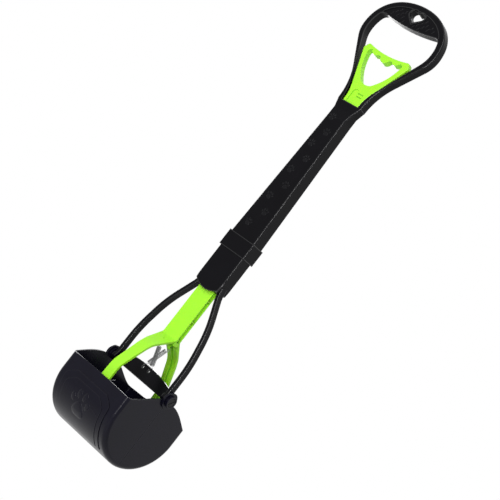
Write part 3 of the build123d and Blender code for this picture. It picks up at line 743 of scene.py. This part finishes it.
PAW = Motif((
    Pad(0.0, -2.6, 4.6, 3.6, lobes=0.12),
    Pad(-5.6, 1.6, 1.55, 2.25, lean=24.0),
    Pad(-2.1, 4.6, 1.60, 2.45, lean=7.0),
    Pad(2.1, 4.6, 1.60, 2.45, lean=-7.0),
    Pad(5.6, 1.6, 1.55, 2.25, lean=-24.0),
))


def tube(shape: bmesh.types.BMesh, line: list[Vector], radius: float, sides: int = 6) -> None:
    """Add a round wire along a line, in metres, with closed ends.

    Args:
        shape: The mesh that the wire is added to.
        line: Points of the wire's middle.
        radius: Radius of the wire.
        sides: Corners of its section.
    """
    across = (line[1] - line[0]).normalized().orthogonal().normalized()
    angles = [math.tau * side / sides for side in range(sides)]
    last = None
    for place, spot in enumerate(line):
        ahead = line[min(place + 1, len(line) - 1)] - line[max(place - 1, 0)]
        ahead.normalize()
        across = (across - ahead * across.dot(ahead)).normalized()
        over = ahead.cross(across)
        ring = [shape.verts.new(spot + (across * math.cos(angle) + over * math.sin(angle)) * radius)
                for angle in angles]
        if last is None:
            shape.faces.new(ring)
        else:
            for side in range(sides):
                after = (side + 1) % sides
                shape.faces.new((last[side], ring[side], ring[after], last[after]))
        last = ring
    shape.faces.new(last)


def bridge(start: Vector, start_way: Vector, end: Vector, end_way: Vector, steps: int,
           fullness: float = 1.1) -> list[Vector]:
    """Give the points of a smooth curve between two directions, without its ends.

    Args:
        start: First point.
        start_way: Unit direction in which the curve leaves it.
        end: Last point.
        end_way: Unit direction in which the curve arrives.
        steps: Number of parts.
        fullness: How far the curve keeps to its two directions, as a share of its span.

    Returns:
        The points between the two ends.
    """
    reach = (end - start).length * fullness
    points = []
    for step in range(1, steps):
        t = step / steps
        points.append(start * (2 * t ** 3 - 3 * t ** 2 + 1) + start_way * reach * (t ** 3 - 2 * t ** 2 + t)
                      + end * (3 * t ** 2 - 2 * t ** 3) + end_way * reach * (t ** 3 - t ** 2))
    return points


# Sub-assemblies


@dataclass
class Handle:
    """Loop grip, shaft and fork: the black frame of the scooper.

    Sizes and heights are in millimetres and angles in degrees. widening is how much the
    shaft's half width grows for each millimetre down from its top.
    """

    nodes: Nodes
    paints: Paintbox
    shaft_top: float = -144.0
    shaft_top_half_width: float = 13.5
    widening: float = 0.033
    first_print: float = -172.0
    print_pitch: float = 22.0
    print_count: int = 9
    print_scale: float = 0.82
    print_lean: float = 10.0
    print_relief: Relief = Relief(height=0.32, sides=14, rings=4)
    print_offset_shares: Pair = (-0.42, 0.16)
    stroke_half_length: float = 3.4
    stroke_half_width: float = 0.75
    stroke_power: float = 3.0
    stroke_relief: Relief = Relief(height=0.45, sides=12, rings=3)
    stroke_lean: float = -24.0
    stroke_pitch: Pair = (4.6, 8.6)
    stroke_reach: Pair = (50.0, 24.0)
    plate_half_depth: float = 5.8
    plate_tolerance: float = 0.05
    margin_share: float = 1.25
    margin_points: int = 8
    nub_places: tuple[Pair, ...] = ((-47.4, -517.5), (47.4, -517.5))
    nub_radius: float = 1.1
    nub_relief: Relief = Relief(height=0.5, sides=14, rings=4)

    def build(self) -> None:
        """Dress the two mouldings and lay their raised marks on them."""
        fork_black = self.paints.material(BLACK_FORK)
        mark = self.paints.material(BLACK_MARK)
        upper, lower = self.nodes["upper_handle"], self.nodes["lower_fork"]
        dress(self.nodes, "upper_handle", self.paints.material(BLACK_HANDLE))
        dress(self.nodes, "lower_fork", fork_black)
        self.prints(Host(upper, Face.FRONT), mark)
        for face in Face:
            self.strokes(Host(upper, face), face, mark)
        self.nubs(Host(lower, Face.FRONT), fork_black)

    def prints(self, host: Host, material: bpy.types.Material) -> None:
        """Walk a trail of small paw prints down the front of the shaft.

        Args:
            host: The handle's front.
            material: What the prints are made of.
        """
        shape = bmesh.new()
        for place in range(self.print_count):
            rise = self.first_print - place * self.print_pitch
            half_width = self.shaft_top_half_width - self.widening * (rise - self.shaft_top)
            side = place % 2
            across = self.print_offset_shares[side] * half_width
            turn = self.print_lean if side else -self.print_lean
            for pad in PAW.pieces(across, rise, self.print_scale, turn):
                pad.raise_on(shape, host, self.print_relief)
        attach(as_piece("shaft_prints", shape, material), Body.FRAME.value)

    def nubs(self, host: Host, material: bpy.types.Material) -> None:
        """Leave the small round ejector mark on each arm.

        Args:
            host: The fork's front.
            material: What the marks are made of.
        """
        shape = bmesh.new()
        for across, up in self.nub_places:
            Pad(across, up, self.nub_radius, self.nub_radius).raise_on(shape, host, self.nub_relief)
        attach(as_piece("arm_ejector_marks", shape, material), Body.FRAME.value)

    def strokes(self, host: Host, face: Face, material: bpy.types.Material) -> None:
        """Roughen the grip plate with short slanted strokes, clear of the heart and the rim.

        Args:
            host: The side of the handle that they lie on.
            face: Which side that is.
            material: What the strokes are made of.
        """
        shape = bmesh.new()
        columns = int(self.stroke_reach[0] / self.stroke_pitch[0])
        rows = int(self.stroke_reach[1] / self.stroke_pitch[1]) + 1
        for column in range(-columns, columns + 1):
            for row in range(-rows, rows + 1):
                stroke = Pad(column * self.stroke_pitch[0], (row + 0.5 * (column % 2)) * self.stroke_pitch[1],
                             self.stroke_half_width, self.stroke_half_length,
                             self.stroke_lean, self.stroke_power)
                if self.on_plate(host, stroke):
                    stroke.raise_on(shape, host, self.stroke_relief)
        piece = as_piece(f"grip_strokes_{face.name.lower()}", shape, material)
        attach(piece, Body.FRAME.value)

    def on_plate(self, host: Host, stroke: Pad) -> bool:
        """Whether a stroke lies wholly on the flat of the grip plate.

        Args:
            host: The side of the handle that it is meant for.
            stroke: The stroke.

        Returns:
            True where every point tested is on the plate's flat.
        """
        for point in range(self.margin_points):
            try:
                spot, _ = host.drop(*stroke.at(self.margin_share, math.tau * point / self.margin_points))
            except ValueError:
                return False
            if abs(abs(spot.y) - mm(self.plate_half_depth)) > mm(self.plate_tolerance):
                return False
        return True


@dataclass
class Trigger:
    """Trigger, rod and prongs."""

    nodes: Nodes
    paints: Paintbox

    def build(self) -> None:
        """Dress the green mouldings and their pins."""
        for name in ("trigger_rod", "pull_fork"):
            dress(self.nodes, name, self.paints.material(GREEN))
        for name in ("front_link_pin", "rear_link_pin"):
            dress(self.nodes, name, self.paints.material(PIN_STEEL))


@dataclass
class Bucket:
    """The two jaws and their hinge pins, with the prints' sizes in millimetres."""

    nodes: Nodes
    paints: Paintbox
    print_scale: float = 2.55
    print_relief: Relief = Relief(height=0.75, sides=32, rings=7)
    print_place: Pair = (0.0, -664.0)

    def build(self) -> None:
        """Dress the jaws and the hinge pins, and raise a paw print on each jaw's panel."""
        black = self.paints.material(BLACK_JAW)
        jaws = (("front_jaw", Face.FRONT, Body.FRONT_JAW), ("rear_jaw", Face.BACK, Body.REAR_JAW))
        for name, face, body in jaws:
            dress(self.nodes, name, black)
            self.print(f"{name}_print", Host(self.nodes[name], face), body, black)
        for name in ("left_hinge_pin", "right_hinge_pin"):
            dress(self.nodes, name, self.paints.material(PIN_STEEL))

    def print(self, name: str, host: Host, body: Body, material: bpy.types.Material) -> None:
        """Raise one large paw print on a jaw's panel.

        Args:
            name: Name of the piece.
            host: The jaw's outer side.
            body: The body that the print rides on.
            material: What the print is made of.
        """
        shape = bmesh.new()
        for pad in PAW.pieces(*self.print_place, self.print_scale):
            pad.raise_on(shape, host, self.print_relief)
        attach(as_piece(name, shape, material), body.value)


@dataclass
class Springs:
    """The two tension springs, wound closer than the solids that they stand for.

    Heights, radii and places are in millimetres and angles in degrees. The front spring
    runs from a hole of the crossbar to the front lug of the pull fork; the rear one is
    the same turned half round.
    """

    nodes: Nodes
    paints: Paintbox
    hole: Triple = (6.0, 0.0, -580.5)
    lug: Triple = (0.0, -11.2, -538.7)
    wire_radius: float = 0.36
    coil_radius: float = 2.85
    coil_pitch: float = 0.98
    coil_turns: int = 28
    coil_steps: int = 14
    coil_way: Triple = (0.0, -1.0, 0.06)
    top_hook_radius: float = 3.0
    top_hook_end: float = 160.0
    bottom_hook_radius: float = 3.2
    bottom_hook_start: float = 200.0
    hook_step: float = 12.0
    bridge_steps: int = 12

    def build(self) -> None:
        """Wind both springs and hide the solids that they stand for."""
        material = self.paints.material(WIRE_STEEL)
        line = self.wire()
        for name, sign in (("front_spring", 1.0), ("rear_spring", -1.0)):
            shape = bmesh.new()
            turned = [Vector((sign * spot.x, sign * spot.y, spot.z)) for spot in line]
            tube(shape, turned, mm(self.wire_radius))
            piece = as_piece(f"{name}_wound", shape, material)
            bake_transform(piece)
            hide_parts(name)

    def wire(self) -> list[Vector]:
        """Give the middle line of the front spring's wire, from the lower hook to the upper one.

        The wire is drawn upright in millimetres, and then turned so that both hooks sit in
        their eyes: the lower one through the hole and the upper one through the lug.

        Returns:
            The line's points in metres.
        """
        hole, lug = Vector(self.hole), Vector(self.lug)
        chord = (lug - hole).normalized()
        low = hole + Vector((chord.x, 0.0, chord.z)).normalized() * self.bottom_hook_radius
        high = lug - Vector((0.0, chord.y, chord.z)).normalized() * self.top_hook_radius
        up = (high - low).normalized()
        across = (Vector((1.0, 0.0, 0.0)) - up * up.x).normalized()
        over = up.cross(across)
        length = (high - low).length
        rise, way = Vector((0.0, 0.0, 1.0)), Vector(self.coil_way).normalized()
        step = math.radians(self.hook_step)
        line = []
        turn = math.radians(self.bottom_hook_start) + math.asin(up.y)
        while turn < math.tau:
            line.append(Vector((0.0, math.cos(turn), math.sin(turn))) * self.bottom_hook_radius)
            turn += step
        start = Vector((0.0, self.bottom_hook_radius, 0.0))
        coil = self.coil((length - self.coil_turns * self.coil_pitch) / 2)
        finish = Vector((-self.top_hook_radius, 0.0, length))
        line += [start, *bridge(start, rise, coil[0], way, self.bridge_steps), *coil]
        line += bridge(coil[-1], way, finish, rise, self.bridge_steps)
        turn = 0.0
        while turn < math.radians(self.top_hook_end) + math.asin(up.x):
            line.append(Vector((-math.cos(turn), 0.0, math.sin(turn))) * self.top_hook_radius + rise * length)
            turn += step
        return [(low + across * spot.x + over * spot.y + up * spot.z) / 1000.0 for spot in line]

    def coil(self, base: float) -> list[Vector]:
        """Give the close turns of a spring that stands upright on its axis.

        Args:
            base: Height of the first turn, in millimetres.

        Returns:
            The points of the turns.
        """
        points = []
        for step in range(self.coil_turns * self.coil_steps + 1):
            turn = math.tau * step / self.coil_steps + math.pi
            points.append(Vector((self.coil_radius * math.cos(turn), self.coil_radius * math.sin(turn),
                                  base + step * self.coil_pitch / self.coil_steps)))
        return points


# Studio


@dataclass(frozen=True)
class Lamp:
    """A soft rectangular lamp, with its place and size in metres and its power in watts."""

    name: str
    place: Triple
    size: Pair
    power: float

    def build(self, aim: Triple) -> None:
        """Add the lamp to the scene.

        Args:
            aim: The point that it shines at.
        """
        data = bpy.data.lights.new(self.name, "AREA")
        data.shape = "RECTANGLE"
        data.size, data.size_y = self.size
        data.energy = self.power
        lamp = bpy.data.objects.new(self.name, data)
        lamp.location = self.place
        lamp.rotation_mode = "QUATERNION"
        lamp.rotation_quaternion = (Vector(aim) - Vector(self.place)).to_track_quat("-Z", "Y")
        bpy.context.scene.collection.objects.link(lamp)


LAMPS = (
    Lamp("key", place=(0.35, -2.28, 0.65), size=(0.7, 2.0), power=37.0),
    Lamp("near_camera", place=(1.48, -1.89, -0.30), size=(0.16, 1.4), power=26.0),
    Lamp("strip", place=(1.30, 1.45, -0.10), size=(0.45, 1.6), power=0.6),
    Lamp("top", place=(0.2, 0.3, 1.6), size=(1.2, 1.2), power=10.0),
    Lamp("back", place=(-1.3, 1.5, 0.2), size=(1.2, 1.2), power=14.0),
)


@dataclass
class Studio:
    """Pale floor, white surround, soft lamps and the camera, in metres and radians.

    floor_glow evens the floor out where it is seen, and surround is how strong the white
    surround is as light.
    """

    lamp_aim: Triple = (0.0, 0.0, -0.35)
    floor_height: float = -1.75
    floor_size: float = 6.0
    floor_tone: float = 0.9
    floor_roughness: float = 0.9
    floor_glow: float = 0.62
    camera_place: Triple = (1.12238, -1.44331, -0.48178)
    camera_target: Triple = (0.01403, 0.0, -0.3765)
    camera_roll: float = -0.6602
    focal_pixels: float = 1405.9
    image_pixels: float = 500.0
    sensor_millimetres: float = 36.0
    far_end: float = 50.0
    surround: float = 0.20

    def build(self) -> None:
        """Build everything that isn't the scooper."""
        scene = bpy.context.scene
        scene.view_settings.view_transform = "Standard"
        self._world(scene)
        self._floor()
        self._camera(scene)
        for lamp in LAMPS:
            lamp.build(self.lamp_aim)

    def _world(self, scene: bpy.types.Scene) -> None:
        """Surround the scene with white where it is seen or mirrored, and with softer light.

        Args:
            scene: The scene that gets the surround.
        """
        world = bpy.data.worlds.new("surround")
        world.use_nodes = True
        world.node_tree.nodes.clear()
        graph = Graph(world.node_tree)
        output = graph.add("ShaderNodeOutputWorld")
        back = graph.add("ShaderNodeBackground")
        back.inputs["Color"].default_value = (1.0, 1.0, 1.0, 1.0)
        graph.feed(graph.spread(graph.seen(), (0.0, 1.0), (self.surround, 1.0)), back.inputs["Strength"])
        graph.feed(back.outputs["Background"], output.inputs["Surface"])
        scene.world = world

    def _floor(self) -> None:
        """Lay a plain pale floor well below the hanging scooper."""
        shape = bmesh.new()
        bmesh.ops.create_grid(shape, x_segments=2, y_segments=2, size=self.floor_size / 2)
        bmesh.ops.translate(shape, vec=(0, 0, self.floor_height), verts=shape.verts)
        mesh = bpy.data.meshes.new("floor")
        shape.to_mesh(mesh)
        shape.free()
        material = bpy.data.materials.new("pale_floor")
        material.use_nodes = True
        shader = material.node_tree.nodes["Principled BSDF"]
        shader.inputs["Base Color"].default_value = (*[self.floor_tone] * 3, 1.0)
        shader.inputs["Roughness"].default_value = self.floor_roughness
        shader.inputs["Specular IOR Level"].default_value = 0.0
        shader.inputs["Emission Strength"].default_value = 1.0
        graph = Graph(material.node_tree)
        glow = graph.mix(graph.seen(), (0.0, 0.0, 0.0, 1.0), (*[self.floor_glow] * 3, 1.0))
        graph.feed(glow, shader.inputs["Emission Color"])
        mesh.materials.append(material)
        floor = bpy.data.objects.new("floor", mesh)
        bpy.context.scene.collection.objects.link(floor)

    def _camera(self, scene: bpy.types.Scene) -> None:
        """Place the camera, rolled so that the handle leans as in the photograph.

        Args:
            scene: The scene that gets the camera.
        """
        data = bpy.data.cameras.new("camera")
        data.sensor_width = self.sensor_millimetres
        data.lens = self.focal_pixels * self.sensor_millimetres / self.image_pixels
        data.clip_end = self.far_end
        place = Vector(self.camera_place)
        forward = (Vector(self.camera_target) - place).normalized()
        right = forward.cross(Vector((0, 0, 1))).normalized()
        down = forward.cross(right)
        cos, sin = math.cos(self.camera_roll), math.sin(self.camera_roll)
        turn = Matrix((right * cos + down * sin, right * sin - down * cos, -forward)).transposed()
        camera = bpy.data.objects.new("camera", data)
        camera.matrix_world = Matrix.Translation(place) @ turn.to_4x4()
        scene.collection.objects.link(camera)
        scene.camera = camera


def main() -> None:
    """Build the scooper's looks and the studio, in order."""
    logging.basicConfig(level=logging.INFO, format="%(message)s")
    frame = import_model()
    paints = Paintbox()
    for part in (Handle, Trigger, Bucket, Springs):
        part(frame["nodes"], paints).build()
        log.info("built %s", part.__name__)
    Studio().build()


if __name__ == "__main__":
    main()
